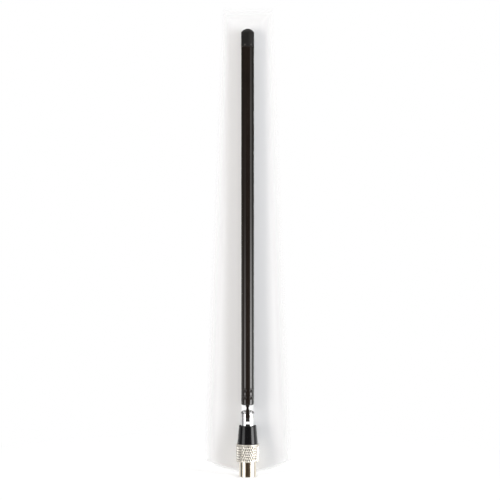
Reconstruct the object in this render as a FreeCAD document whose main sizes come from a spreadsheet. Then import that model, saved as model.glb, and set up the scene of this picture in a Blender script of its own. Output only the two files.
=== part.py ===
import FreeCAD
import Part
import Sketcher
import math
import os

# Telescopic antenna with a coaxial plug, in millimetres.
# +Z runs from the plug to the tip, and the origin is the centre of the plug's mouth.
# The mast tilts about X and every section slides along Z.

doc = FreeCAD.newDocument("telescopic_antenna")
sheet = doc.addObject("Spreadsheet::Sheet", "sizes")

# Driving dimensions: lengths in millimetres and angles in degrees
DRIVING_SIZES = {
    # Plug
    "plug_radius": 4.75,
    "plug_wall": 0.55,
    "plug_reach": 8.35,
    "mouth_round": 0.2,
    "waist_step": 0.2,
    "waist_drop": 0.2,
    "flange_radius": 5.3,
    "flange_thickness": 1.2,
    "shell_tail": 2.8,
    "rim_lip": 0.4,
    "rim_depth": 0.5,
    # Centre pin and its insulator
    "pin_radius": 1.175,
    "pin_inset": 0.7,
    "insulator_length": 5.4,
    "pin_collar_radius": 1.75,
    "pin_collar_length": 2.4,
    "cup_radius": 1.5,
    "cup_wall": 0.4,
    "cup_height": 2.4,
    "cup_depth": 1.9,
    # Contact spring
    "spring_wire_radius": 0.14,
    "spring_clearance": 0.12,
    "spring_pitch": 1.15,
    # Knurled sleeve
    "sleeve_wall": 0.9,
    "sleeve_length": 9.65,
    "sleeve_floor": 1.4,
    "sleeve_play": 0.05,
    "rim_chamfer": 0.25,
    "knurl_depth": 0.3,
    "knurl_core_step": 0.1,
    "knurl_land": 0.3,
    "knurl_start": 0.62,
    "knurl_end": 0.63,
    "knurl_runout": 0.3,
    # Collar
    "collar_length": 10.25,
    "collar_foot_step": 0.3,
    "collar_wall": 0.98,
    "collar_round": 0.35,
    "recess_depth": 1.4,
    "recess_play": 0.1,
    "cavity_radius": 4.0,
    "tail_play": 0.2,
    # Swivel bush
    "bush_radius": 3.1,
    "bush_length": 5.6,
    "swivel_play": 0.05,
    "thrust_play": 0.05,
    # Fork
    "fork_radius": 3.7,
    "stem_radius": 2.0,
    "stem_end": 0.9,
    "groove_depth": 0.45,
    "hinge_rise": 4.8,
    "ear_rise": 3.3,
    "ear_round": 1.5,
    "slot_drop": 4.7,
    "slot_play": 0.1,
    # Clip and spring washer
    "clip_thickness": 0.6,
    "clip_radius": 3.3,
    "clip_mouth": 2.6,
    "washer_thickness": 0.2,
    "washer_space": 0.65,
    "washer_radius": 3.0,
    # Hinge pin
    "hinge_pin_radius": 1.0,
    "hinge_play": 0.05,
    "head_radius": 1.55,
    "head_depth": 0.45,
    "head_height": 0.3,
    # Knuckle
    "tongue_thickness": 2.0,
    "tongue_radius": 2.8,
    "mast_rise": 6.5,
    "neck_thickness": 1.35,
    "neck_low": 3.7,
    "neck_high": 5.7,
    "knuckle_length": 9.6,
    "knuckle_chamfer": 0.3,
    # Tubes
    "mast_radius": 3.5,
    "mast_length": 198.7,
    "tube_wall": 0.3,
    "tube_gap": 0.15,
    "roll_round": 0.8,
    "roll_inner": 0.9,
    "lip_length": 0.6,
    "lip_round": 0.25,
    "lip_play": 0.05,
    # Crimp dents in the mast
    "crimp_inset": 1.5,
    "crimp_spacing": 3.9,
    "crimp_width": 1.7,
    "crimp_depth": 0.35,
    "crimp_groove": 0.42,
    "crimp_groove_width": 2.3,
    "crimp_turn": 34.0,
    # Feet of the sliding sections
    "first_foot_rise": 0.4,
    "foot_step": 4.9,
    "foot_shoulder": 4.7,
    "neck_depth": 0.3,
    "flare_height": 0.4,
    "flare_step": 0.12,
    "contact_length": 4.0,
    "contact_play": 0.03,
    "contact_slit": 0.5,
    # Cap and its plug
    "cap_radius": 3.55,
    "cap_wall": 0.35,
    "cap_length": 10.05,
    "cap_play": 0.05,
    "cap_dome": 2.1,
    "tip_plug_length": 4.3,
    "tip_plug_inset": 0.2,
    "dimple_rise": 1.25,
    "dimple_width": 1.15,
    "dimple_depth": 0.25,
    "dimple_groove": 0.42,
    "dimple_groove_width": 1.5,
}

KNURL_COLUMNS = 36
KNURL_ROWS = 6
DENTS_PER_RING = 6
INNER_TUBES = ("second", "third", "fourth", "fifth", "sixth")


class Size:
    """A length that carries both its number and the sheet expression that gives it."""

    def __init__(self, value, text=None):
        self.value = float(value)
        self.text = text if text else repr(float(value))

    def combined(self, other, sign, value):
        return Size(value, "(" + self.text + " " + sign + " " + other.text + ")")

    def __add__(self, other):
        other = as_size(other)
        return self.combined(other, "+", self.value + other.value)

    def __sub__(self, other):
        other = as_size(other)
        return self.combined(other, "-", self.value - other.value)

    def __mul__(self, other):
        other = as_size(other)
        return self.combined(other, "*", self.value * other.value)

    def __truediv__(self, other):
        other = as_size(other)
        return self.combined(other, "/", self.value / other.value)

    def __neg__(self):
        return Size(-self.value, "(-1 * " + self.text + ")")


def as_size(length):
    """Plain numbers join in as they are."""
    return length if isinstance(length, Size) else Size(length)


def fill_sheet():
    """Write each driving dimension in a cell of its own, with its name beside it."""
    for row, (name, number) in enumerate(DRIVING_SIZES.items(), start=1):
        sheet.set("A" + str(row), name)
        sheet.set("B" + str(row), str(number))
        sheet.setAlias("B" + str(row), name)
    doc.recompute()


def size(name):
    """The driving dimension of this name, read back from the sheet."""
    return Size(getattr(sheet, name), "sizes." + name)


fill_sheet()
ZERO = Size(0)
pieces = {}


def keep(name, piece):
    """Name a finished sub-part: the name is its label and its file's name."""
    piece.Label = name
    pieces[name] = piece
    return piece


def bind(piece, path, length):
    """Tie one property of a piece to the sheet."""
    piece.setExpression(path, as_size(length).text)


# Sketches and features


def arc_between(start, end, radius, turn):
    """Arc of this radius from start to end: turn is 1 anticlockwise and -1 clockwise, half a turn at most."""
    chord = end - start
    half = chord.Length / 2
    lift = math.sqrt(max(radius * radius - half * half, 0.0))
    left = FreeCAD.Vector(-chord.y, chord.x, 0).normalize()
    centre = start + chord * 0.5 + left * (lift * turn)
    first, last = (start, end) if turn > 0 else (end, start)
    angles = [math.atan2(point.y - centre.y, point.x - centre.x) for point in (first, last)]
    if angles[1] < angles[0]:
        angles[1] += 2 * math.pi
    circle = Part.Circle(centre, FreeCAD.Vector(0, 0, 1), radius)
    return Part.ArcOfCircle(circle, angles[0], angles[1])


def pin_coordinate(sketch, geometry, point, direction, length):
    """Hold one coordinate of a sketch point at a length from the sketch's origin."""
    axis = {"DistanceX": -2, "DistanceY": -1}[direction]
    if length.value == 0:
        sketch.addConstraint(Sketcher.Constraint("PointOnObject", geometry, point, axis))
        return
    if length.value > 0:
        ends = (-1, 1, geometry, point)
    else:
        ends = (geometry, point, -1, 1)
        length = -length
    index = sketch.addConstraint(Sketcher.Constraint(direction, *ends, length.value))
    bind(sketch, "Constraints[" + str(index) + "]", length)


def draw_outline(sketch, outline):
    """Closed outline. A step is (across, up), or (across, up, radius, turn) for an arc that ends there."""
    steps = [[as_size(item) for item in step[:2]] + list(step[2:]) for step in outline]
    corners = [FreeCAD.Vector(step[0].value, step[1].value, 0) for step in steps]
    first = sketch.GeometryCount
    count = len(steps)
    starts = []
    finishes = []
    for number in range(count):
        after = (number + 1) % count
        step = steps[after]
        if len(step) > 2:
            radius = as_size(step[2])
            sketch.addGeometry(arc_between(corners[number], corners[after], radius.value, step[3]))
            constraint = Sketcher.Constraint("Radius", first + number, radius.value)
            index = sketch.addConstraint(constraint)
            bind(sketch, "Constraints[" + str(index) + "]", radius)
            starts.append(1 if step[3] > 0 else 2)
            finishes.append(2 if step[3] > 0 else 1)
        else:
            sketch.addGeometry(Part.LineSegment(corners[number], corners[after]))
            starts.append(1)
            finishes.append(2)
    for number in range(count):
        after = (number + 1) % count
        sketch.addConstraint(Sketcher.Constraint(
            "Coincident", first + number, finishes[number], first + after, starts[after]))
        pin_coordinate(sketch, first + number, starts[number], "DistanceX", steps[number][0])
        pin_coordinate(sketch, first + number, starts[number], "DistanceY", steps[number][1])


def draw_circle(sketch, up, radius):
    """Circle on the sketch's upright axis."""
    circle = Part.Circle(FreeCAD.Vector(0, up.value, 0), FreeCAD.Vector(0, 0, 1), radius.value)
    geometry = sketch.addGeometry(circle)
    index = sketch.addConstraint(Sketcher.Constraint("Radius", geometry, radius.value))
    bind(sketch, "Constraints[" + str(index) + "]", radius)
    pin_coordinate(sketch, geometry, 3, "DistanceX", ZERO)
    pin_coordinate(sketch, geometry, 3, "DistanceY", up)


def new_body(name):
    return doc.addObject("PartDesign::Body", name + "_body")


def origin_plane(body, role):
    return [item for item in body.Origin.OriginFeatures if item.Role == role][0]


def new_sketch(body, name, role):
    """Empty sketch on one of the body's own origin planes."""
    sketch = body.newObject("Sketcher::SketchObject", name)
    sketch.AttachmentSupport = (origin_plane(body, role), [""])
    sketch.MapMode = "FlatFace"
    return sketch


def turned(body, outline, axis="V_Axis"):
    """Turn an outline (radius, height) once round the upright axis, or round the one named."""
    sketch = new_sketch(body, "turning_profile", "XZ_Plane")
    draw_outline(sketch, outline)
    feature = body.newObject("PartDesign::Revolution", "turned_form")
    feature.Profile = sketch
    feature.ReferenceAxis = (sketch, [axis])
    feature.Angle = 360
    return feature


def cut_through(body, sketch):
    """Cut the sketch's shape right through, both ways from its plane."""
    feature = body.newObject("PartDesign::Pocket", "cut")
    feature.Profile = sketch
    feature.Type = "ThroughAll"
    feature.SideType = "Symmetric"
    return feature


def cut_slot(body, role, *outlines):
    """Cut closed outlines on an origin plane right through."""
    sketch = new_sketch(body, "slot_outline", role)
    for outline in outlines:
        draw_outline(sketch, outline)
    return cut_through(body, sketch)


def cut_cross_hole(body, up, radius):
    """Cut a round hole along X at this height."""
    sketch = new_sketch(body, "hole_outline", "YZ_Plane")
    draw_circle(sketch, up, radius)
    return cut_through(body, sketch)


def rectangle(left, right, low, high):
    return [(left, low), (right, low), (right, high), (left, high)]


# Heights above the plug's mouth

sleeve_inside = size("plug_reach") + size("sleeve_floor")
flange_top = sleeve_inside + size("flange_thickness")
shell_top = flange_top + size("shell_tail")
insulator_top = shell_top - size("rim_lip")
pin_collar_low = insulator_top - size("pin_collar_length")
cup_top = insulator_top + size("cup_height")
cup_floor = cup_top - size("cup_depth")
sleeve_top = size("plug_reach") + size("sleeve_length")
collar_top = sleeve_top + size("collar_length")
bush_top = collar_top - size("recess_depth")
bush_low = bush_top - size("bush_length")
clip_top = bush_low - size("washer_space")
clip_low = clip_top - size("clip_thickness")
stem_low = clip_low - size("stem_end")
hinge_height = collar_top + size("hinge_rise")
ear_top = hinge_height + size("ear_rise")
mast_low = hinge_height + size("mast_rise")
mast_top = mast_low + size("mast_length")

# Radii that several pieces share

shell_bore = size("plug_radius") - size("plug_wall")
waist_radius = size("plug_radius") - size("waist_step")
waist_bore = waist_radius + size("sleeve_play")
sleeve_bore = size("flange_radius") + size("sleeve_play")
sleeve_radius = sleeve_bore + size("sleeve_wall")
groove_radius = size("stem_radius") - size("groove_depth")
mast_bore = size("mast_radius") - size("tube_wall")
cap_bore = size("cap_radius") - size("cap_wall")


def plug_shell():
    """Outer contact tube: rounded mouth, a waist and a flange in the sleeve, a rim over the insulator."""
    body = new_body("plug_shell")
    radius = size("plug_radius")
    edge = size("mouth_round")
    rim_bore = shell_bore - size("rim_depth")
    waist_low = size("plug_reach") - size("waist_drop")
    turned(body, [
        (shell_bore, ZERO),
        (radius - edge, ZERO),
        (radius, edge, edge, 1),
        (radius, waist_low),
        (waist_radius, waist_low),
        (waist_radius, sleeve_inside),
        (size("flange_radius"), sleeve_inside),
        (size("flange_radius"), flange_top),
        (waist_radius, flange_top),
        (waist_radius, shell_top),
        (rim_bore, shell_top),
        (rim_bore, insulator_top),
        (shell_bore, insulator_top),
    ])
    keep("plug_shell", body)


def plug_insulator():
    """Disc that fills the shell's bore and holds the pin by its collar."""
    body = new_body("plug_insulator")
    low = insulator_top - size("insulator_length")
    turned(body, [
        (size("pin_radius"), low),
        (shell_bore, low),
        (shell_bore, insulator_top),
        (size("pin_collar_radius"), insulator_top),
        (size("pin_collar_radius"), pin_collar_low),
        (size("pin_radius"), pin_collar_low),
    ])
    keep("plug_insulator", body)


def centre_pin():
    """Pin with a round tip, a collar in the insulator and a cup for the spring."""
    body = new_body("centre_pin")
    radius = size("pin_radius")
    cup_bore = size("cup_radius") - size("cup_wall")
    turned(body, [
        (ZERO, size("pin_inset")),
        (radius, size("pin_inset") + radius, radius, 1),
        (radius, pin_collar_low),
        (size("pin_collar_radius"), pin_collar_low),
        (size("pin_collar_radius"), insulator_top),
        (size("cup_radius"), insulator_top),
        (size("cup_radius"), cup_top),
        (cup_bore, cup_top),
        (cup_bore, cup_floor),
        (ZERO, cup_floor),
    ])
    keep("centre_pin", body)


def contact_spring():
    """Coil from the floor of the pin's cup to the end of the fork's stem."""
    wire = size("spring_wire_radius")
    cup_bore = size("cup_radius") - size("cup_wall")
    mean_radius = cup_bore - size("spring_clearance") - wire
    path = doc.addObject("Part::Helix", "spring_path")
    bind(path, "Radius", mean_radius)
    bind(path, "Pitch", size("spring_pitch"))
    bind(path, "Height", stem_low - cup_floor - wire * 2 - size("thrust_play"))
    bind(path, ".Placement.Base.z", cup_floor + wire)
    section = doc.addObject("Part::Circle", "spring_section")
    bind(section, "Radius", wire)
    section.Placement.Rotation = FreeCAD.Rotation(FreeCAD.Vector(1, 0, 0), 90)
    bind(section, ".Placement.Base.x", mean_radius)
    bind(section, ".Placement.Base.z", cup_floor + wire)
    coil = doc.addObject("Part::Sweep", "contact_spring_sweep")
    coil.Sections = [section]
    coil.Spine = (path, ["Edge1"])
    coil.Solid = True
    coil.Frenet = True
    keep("contact_spring", coil)


def knurl_shape():
    """Knurled band: rows of pyramids with a small flat land, each row set half a pyramid round.

    On a lattice of half columns and rows, points where column + row is even are tops and the
    others are valley points, so each top has four valley points round it."""
    crest = sleeve_radius.value
    root = crest - sheet.knurl_depth
    low = sheet.plug_reach + sheet.knurl_start
    pitch = (sheet.sleeve_length - sheet.knurl_start - sheet.knurl_end) / KNURL_ROWS
    half_column = math.pi / KNURL_COLUMNS
    columns = 2 * KNURL_COLUMNS
    land = sheet.knurl_land

    def place(column, row, radius):
        angle = column * half_column
        return FreeCAD.Vector(radius * math.cos(angle), radius * math.sin(angle), low + row * pitch)

    triangles = []
    ends = {0: [], KNURL_ROWS: []}
    for row in range(KNURL_ROWS + 1):
        for column in range(row % 2, columns, 2):
            left = place(column - 1, row, root)
            right = place(column + 1, row, root)
            land_left = place(column - land, row, crest)
            land_right = place(column + land, row, crest)
            if row in ends:
                ends[row] += [left, land_left, land_right]
            for step in (1, -1):
                if not 0 <= row + step <= KNURL_ROWS:
                    continue
                peak = place(column, row + step, root)
                land_end = place(column, row + step * land, crest)
                half = [(left, land_left, land_end), (left, land_end, peak),
                        (right, land_end, land_right), (right, peak, land_end),
                        (land_left, land_right, land_end)]
                triangles += half if step > 0 else [(a, c, b) for a, b, c in half]
    centres = {row: FreeCAD.Vector(0, 0, low + row * pitch) for row in ends}
    for row, ring in ends.items():
        for index, point in enumerate(ring):
            following = ring[(index + 1) % len(ring)]
            fan = (centres[row], following, point) if row == 0 else (centres[row], point, following)
            triangles.append(fan)
    faces = [Part.Face(Part.makePolygon([a, b, c, a])) for a, b, c in triangles]
    shell = Part.Shell(Part.makeCompound(faces).Faces)
    shell.sewShape()
    band = Part.Solid(shell)
    return band if band.Volume > 0 else band.reversed()


def knurled_sleeve():
    """Turned sleeve with plain rims, a run-out groove at each end of the knurl, and a stepped bore."""
    blank = new_body("sleeve_blank")
    chamfer = size("rim_chamfer")
    core = sleeve_radius - size("knurl_depth") - size("knurl_core_step")
    band_low = size("plug_reach") + size("knurl_start")
    band_high = sleeve_top - size("knurl_end")
    low_groove = band_low - size("knurl_runout")
    high_groove = band_high + size("knurl_runout")
    turned(blank, [
        (ZERO, size("plug_reach")),
        (sleeve_radius - chamfer, size("plug_reach")),
        (sleeve_radius, size("plug_reach") + chamfer),
        (sleeve_radius, low_groove),
        (core, low_groove),
        (core, high_groove),
        (sleeve_radius, high_groove),
        (sleeve_radius, sleeve_top - chamfer),
        (sleeve_radius - chamfer, sleeve_top),
        (ZERO, sleeve_top),
    ])
    bore = new_body("sleeve_bore")
    turned(bore, [
        (ZERO, ZERO),
        (waist_bore, ZERO),
        (waist_bore, sleeve_inside),
        (sleeve_bore, sleeve_inside),
        (sleeve_bore, sleeve_top + size("sleeve_floor")),
        (ZERO, sleeve_top + size("sleeve_floor")),
    ])
    band = doc.addObject("Part::Feature", "knurl_band")
    band.Shape = knurl_shape()
    joined = doc.addObject("Part::Fuse", "sleeve_outside")
    joined.Base = blank
    joined.Tool = band
    bored = doc.addObject("Part::Cut", "sleeve")
    bored.Base = joined
    bored.Tool = bore
    keep("knurled_sleeve", bored)


def collar():
    """Tapered back shell: spigot in the sleeve, cavity for clip and spring, seat for the bush."""
    body = new_body("collar")
    cavity_low = shell_top + size("tail_play")
    edge = size("collar_round")
    recess = size("fork_radius") + size("recess_play")
    top_radius = recess + size("collar_wall")
    turned(body, [
        (waist_bore, flange_top),
        (size("flange_radius"), flange_top),
        (size("flange_radius"), sleeve_top),
        (sleeve_bore + size("collar_foot_step"), sleeve_top),
        (top_radius, collar_top - edge),
        (top_radius - edge, collar_top, edge, 1),
        (recess, collar_top),
        (recess, bush_top),
        (size("bush_radius"), bush_top),
        (size("bush_radius"), bush_low),
        (size("cavity_radius"), bush_low),
        (size("cavity_radius"), cavity_low),
        (waist_bore, cavity_low),
    ])
    keep("collar", body)


def swivel_bush():
    """Plain brass bush in which the fork's stem turns."""
    body = new_body("swivel_bush")
    bore = size("stem_radius") + size("swivel_play")
    turned(body, rectangle(bore, size("bush_radius"), bush_low, bush_top))
    keep("swivel_bush", body)


def fork():
    """Turned fork: slotted head with round shoulders, cross hole, rivet seats and a grooved stem."""
    body = new_body("fork")
    stem = size("stem_radius")
    radius = size("fork_radius")
    shoulder = size("ear_round")
    base = bush_top + size("thrust_play")
    turned(body, [
        (ZERO, stem_low),
        (stem, stem_low),
        (stem, clip_low),
        (groove_radius, clip_low),
        (groove_radius, clip_top),
        (stem, clip_top),
        (stem, base),
        (radius, base),
        (radius, ear_top - shoulder),
        (radius - shoulder, ear_top, shoulder, 1),
        (ZERO, ear_top),
    ])
    half_slot = size("tongue_thickness") / 2 + size("slot_play")
    above = ear_top + size("ear_rise")
    cut_slot(body, "XZ_Plane", rectangle(-half_slot, half_slot, hinge_height - size("slot_drop"), above))
    cut_cross_hole(body, hinge_height, size("hinge_pin_radius"))
    seat = new_sketch(body, "rivet_seat_outline", "YZ_Plane")
    draw_circle(seat, hinge_height, size("head_radius"))
    bind(seat, ".AttachmentOffset.Base.z", radius - size("head_depth"))
    pocket = body.newObject("PartDesign::Pocket", "rivet_seat")
    pocket.Profile = seat
    pocket.Type = "ThroughAll"
    pocket.Reversed = True
    mirror = body.newObject("PartDesign::Mirrored", "rivet_seats")
    mirror.Originals = [pocket]
    mirror.MirrorPlane = (origin_plane(body, "YZ_Plane"), [""])
    body.Tip = mirror
    keep("fork", body)


def retaining_clip():
    """Open clip that fills the stem's groove."""
    body = new_body("retaining_clip")
    turned(body, rectangle(groove_radius, size("clip_radius"), clip_low, clip_top))
    half_mouth = size("clip_mouth") / 2
    cut = new_sketch(body, "mouth_outline", "XY_Plane")
    draw_outline(cut, rectangle(-half_mouth, half_mouth, ZERO, size("clip_radius") * 2))
    cut_through(body, cut)
    keep("retaining_clip", body)


def spring_washer():
    """Dished washer: its inner edge rests on the clip and its outer edge presses the bush."""
    body = new_body("spring_washer")
    inner = size("stem_radius") + size("swivel_play") * 2
    outer = size("washer_radius")
    thickness = size("washer_thickness")
    high = bush_low - size("thrust_play")
    turned(body, [
        (inner, clip_top),
        (outer, high - thickness),
        (outer, high),
        (inner, clip_top + thickness),
    ])
    keep("spring_washer", body)


def hinge_pin():
    """Rivet along X with a domed head in each ear's seat."""
    body = new_body("hinge_pin")
    seat = size("fork_radius") - size("head_depth")
    end = seat + size("head_height")
    head = size("head_radius")
    height = size("head_height")
    dome = (head * head + height * height) / (height * 2)
    shaft = size("hinge_pin_radius")
    turned(body, [
        (-end, ZERO, dome, 1),
        (end, ZERO),
        (seat, head, dome, 1),
        (seat, shaft),
        (-seat, shaft),
        (-seat, head),
    ], "H_Axis")
    bind(body, ".Placement.Base.z", hinge_height)
    keep("hinge_pin", body)


def knuckle():
    """End plug of the first tube with a flat tongue, modelled about the hinge axis."""
    body = new_body("knuckle")
    foot = size("mast_rise")
    inner_round = size("roll_round") - size("tube_wall")
    stub = size("mast_radius") - size("roll_inner")
    floor = foot + size("tube_wall")
    groove_bottom = mast_bore - size("crimp_groove")
    half_groove = size("crimp_groove_width") / 2
    top = foot + size("knuckle_length")
    second_crimp = top - size("crimp_inset")
    first_crimp = second_crimp - size("crimp_spacing")
    chamfer = size("knuckle_chamfer")
    turned(body, [
        (ZERO, foot),
        (stub, foot),
        (stub, floor),
        (mast_bore - inner_round, floor),
        (mast_bore, floor + inner_round, inner_round, 1),
        (mast_bore, first_crimp - half_groove),
        (groove_bottom, first_crimp - half_groove),
        (groove_bottom, first_crimp + half_groove),
        (mast_bore, first_crimp + half_groove),
        (mast_bore, second_crimp - half_groove),
        (groove_bottom, second_crimp - half_groove),
        (groove_bottom, second_crimp + half_groove),
        (mast_bore, second_crimp + half_groove),
        (mast_bore, top - chamfer),
        (mast_bore - chamfer, top),
        (ZERO, top),
    ])
    half_width = size("tongue_radius")
    sketch = new_sketch(body, "tongue_outline", "YZ_Plane")
    draw_outline(sketch, [
        (-half_width, foot),
        (-half_width, ZERO),
        (ZERO, -half_width, half_width, 1),
        (half_width, ZERO, half_width, 1),
        (half_width, foot),
    ])
    tongue = body.newObject("PartDesign::Pad", "tongue")
    tongue.Profile = sketch
    tongue.SideType = "Symmetric"
    bind(tongue, "Length", size("tongue_thickness"))
    inside = size("neck_thickness") / 2
    outside = size("tongue_thickness")
    low = size("neck_low")
    high = size("neck_high")
    cut_slot(body, "XZ_Plane",
             rectangle(inside, outside, low, high),
             rectangle(-outside, -inside, low, high))
    cut_cross_hole(body, ZERO, size("hinge_pin_radius") + size("hinge_play"))
    bind(body, ".Placement.Base.z", hinge_height)
    keep("knuckle", body)


def dented(name, tube, radius, wall, heights, width, depth, turn):
    """Press rings of round dents into a tube: each dent pushes the wall inwards at its own thickness.

    A dent is the cap of a ball outside the tube. The same ball, one wall larger, is the bulge inside."""
    ball = (width * width / 4 + depth * depth) / (depth * 2)
    distance = radius + ball - depth
    dents = []
    bulges = []
    for height in heights:
        for number in range(DENTS_PER_RING):
            angle = turn + Size(360 / DENTS_PER_RING) * number
            for group, ball_radius in ((dents, ball), (bulges, ball + wall)):
                sphere = doc.addObject("Part::Sphere", name + "_ball")
                bind(sphere, "Radius", ball_radius)
                across = "sin(" + angle.text + " * 1 deg)"
                away = "cos(" + angle.text + " * 1 deg)"
                sphere.setExpression(".Placement.Base.x", distance.text + " * " + across)
                sphere.setExpression(".Placement.Base.y", "-1 * " + distance.text + " * " + away)
                bind(sphere, ".Placement.Base.z", height)
                group.append(sphere)
    all_bulges = doc.addObject("Part::MultiFuse", name + "_bulges")
    all_bulges.Shapes = bulges
    inside = doc.addObject("Part::Cylinder", name + "_inside")
    bind(inside, "Radius", radius - wall / 2)
    bind(inside, "Height", heights[-1] + radius)
    trimmed = doc.addObject("Part::Common", name + "_trimmed_bulges")
    trimmed.Base = all_bulges
    trimmed.Tool = inside
    bulged = doc.addObject("Part::Fuse", name + "_bulged")
    bulged.Base = tube
    bulged.Tool = trimmed
    all_dents = doc.addObject("Part::MultiFuse", name + "_dents")
    all_dents.Shapes = dents
    pressed = doc.addObject("Part::Cut", name + "_pressed")
    pressed.Base = bulged
    pressed.Tool = all_dents
    keep(name, pressed)


def base_tube():
    """First tube: bottom rolled in under the knuckle's plug, top rolled in round the second tube."""
    body = new_body("base_tube")
    radius = size("mast_radius")
    roll = size("roll_round")
    inner_roll = roll - size("tube_wall")
    edge = size("lip_round")
    low = mast_low
    lip_bore = mast_bore - size("tube_gap") + size("lip_play")
    turned(body, [
        (radius - size("roll_inner"), low),
        (radius - roll, low),
        (radius, low + roll, roll, 1),
        (radius, mast_top - edge),
        (radius - edge, mast_top, edge, 1),
        (lip_bore, mast_top),
        (lip_bore, mast_top - size("lip_length")),
        (mast_bore, mast_top - size("lip_length")),
        (mast_bore, low + roll),
        (mast_bore - inner_roll, low + size("tube_wall"), inner_roll, -1),
        (radius - size("roll_inner"), low + size("tube_wall")),
    ])
    second_crimp = low + size("knuckle_length") - size("crimp_inset")
    first_crimp = second_crimp - size("crimp_spacing")
    dented("base_tube", body, radius, size("tube_wall"), [first_crimp, second_crimp],
           size("crimp_width"), size("crimp_depth"), size("crimp_turn"))


def split_contact(name, foot, neck, outer_bore):
    """Split brass sleeve that fills the neck of a sliding section and rubs in the tube outside it."""
    body = new_body(name)
    low = size("flare_height")
    outside = outer_bore - size("contact_play")
    turned(body, rectangle(neck, outside, low, low + size("contact_length")))
    half_slit = size("contact_slit") / 2
    cut = new_sketch(body, "slit_outline", "XY_Plane")
    draw_outline(cut, rectangle(-half_slit, half_slit, ZERO, outside * 2))
    cut_through(body, cut)
    bind(body, ".Placement.Base.z", foot)
    keep(name, body)


def sliding_tube(name, foot, radius):
    """Tube whose foot is drawn in to a neck with a small flare, and whose top is rolled in."""
    body = new_body(name)
    wall = size("tube_wall")
    bore = radius - wall
    neck = radius - size("neck_depth")
    neck_bore = neck - wall
    flare = neck + size("flare_step")
    shoulder = size("flare_height") + size("contact_length")
    length = mast_top - foot
    edge = size("lip_round")
    lip_bore = bore - size("tube_gap") + size("lip_play")
    turned(body, [
        (neck_bore, ZERO),
        (flare, ZERO),
        (flare, size("flare_height")),
        (neck, size("flare_height")),
        (neck, shoulder),
        (radius, shoulder),
        (radius, length - edge),
        (radius - edge, length, edge, 1),
        (lip_bore, length),
        (lip_bore, length - size("lip_length")),
        (bore, length - size("lip_length")),
        (bore, size("foot_shoulder")),
        (neck_bore, size("foot_shoulder")),
    ])
    bind(body, ".Placement.Base.z", foot)
    keep(name, body)


def tip_rod(foot, radius):
    """Solid last section, riveted into the tip plug."""
    body = new_body("tip_rod")
    neck = radius - size("neck_depth")
    flare = neck + size("flare_step")
    shoulder = size("flare_height") + size("contact_length")
    length = mast_top - foot + size("tip_plug_inset") + size("tip_plug_length")
    turned(body, [
        (ZERO, ZERO),
        (flare, ZERO),
        (flare, size("flare_height")),
        (neck, size("flare_height")),
        (neck, shoulder),
        (radius, shoulder),
        (radius, length),
        (ZERO, length),
    ])
    bind(body, ".Placement.Base.z", foot)
    keep("tip_rod", body)


def tip_plug(rod_radius):
    """Bush on the rod's end, grooved for the cap's dimples."""
    body = new_body("tip_plug")
    low = mast_top + size("tip_plug_inset")
    top = low + size("tip_plug_length")
    middle = mast_top + size("dimple_rise")
    half_groove = size("dimple_groove_width") / 2
    groove_bottom = cap_bore - size("dimple_groove")
    turned(body, [
        (rod_radius, low),
        (cap_bore, low),
        (cap_bore, middle - half_groove),
        (groove_bottom, middle - half_groove),
        (groove_bottom, middle + half_groove),
        (cap_bore, middle + half_groove),
        (cap_bore, top),
        (rod_radius, top),
    ])
    keep("tip_plug", body)


def tip_cap():
    """Drawn cap: even wall, domed top, and one ring of dimples that grips the tip plug."""
    body = new_body("tip_cap")
    radius = size("cap_radius")
    wall = size("cap_wall")
    low = mast_top + size("cap_play")
    top = low + size("cap_length")
    rise = size("cap_dome")
    inner_rise = rise - wall
    dome = (radius * radius + rise * rise) / (rise * 2)
    inner_dome = (cap_bore * cap_bore + inner_rise * inner_rise) / (inner_rise * 2)
    turned(body, [
        (cap_bore, low),
        (radius, low),
        (radius, top - rise),
        (ZERO, top, dome, 1),
        (ZERO, top - wall),
        (cap_bore, top - rise, inner_dome, -1),
    ])
    dented("tip_cap", body, radius, wall, [mast_top + size("dimple_rise")],
           size("dimple_width"), size("dimple_depth"), size("crimp_turn"))


def mast():
    """All sections, each one tube wall and one gap smaller than the one outside it."""
    base_tube()
    outer_bore = mast_bore
    foot = mast_low + size("knuckle_length") + size("first_foot_rise")
    for name in INNER_TUBES:
        radius = outer_bore - size("tube_gap")
        sliding_tube(name + "_tube", foot, radius)
        split_contact(name + "_contact", foot, radius - size("neck_depth"), outer_bore)
        outer_bore = radius - size("tube_wall")
        foot = foot + size("foot_step")
    rod_radius = outer_bore - size("tube_gap")
    tip_rod(foot, rod_radius)
    split_contact("rod_contact", foot, rod_radius - size("neck_depth"), outer_bore)
    tip_plug(rod_radius)
    tip_cap()


plug_shell()
plug_insulator()
centre_pin()
contact_spring()
knurled_sleeve()
collar()
swivel_bush()
fork()
retaining_clip()
spring_washer()
hinge_pin()
knuckle()
mast()
doc.recompute()

# Every object and every sub-part has to be sound before anything is written

for item in doc.Objects:
    if "Invalid" in item.State or "Error" in item.State:
        raise RuntimeError(item.Label + " could not be computed: " + str(item.State))
for name, piece in pieces.items():
    if piece.Shape.isNull() or not piece.Shape.isValid() or len(piece.Shape.Solids) != 1:
        raise RuntimeError(name + " is not one valid solid")

os.makedirs("parts", exist_ok=True)
for name, piece in pieces.items():
    piece.Shape.exportStep("parts/" + name + ".step")
    print(name, round(piece.Shape.Volume, 3), "cubic millimetres")
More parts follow.
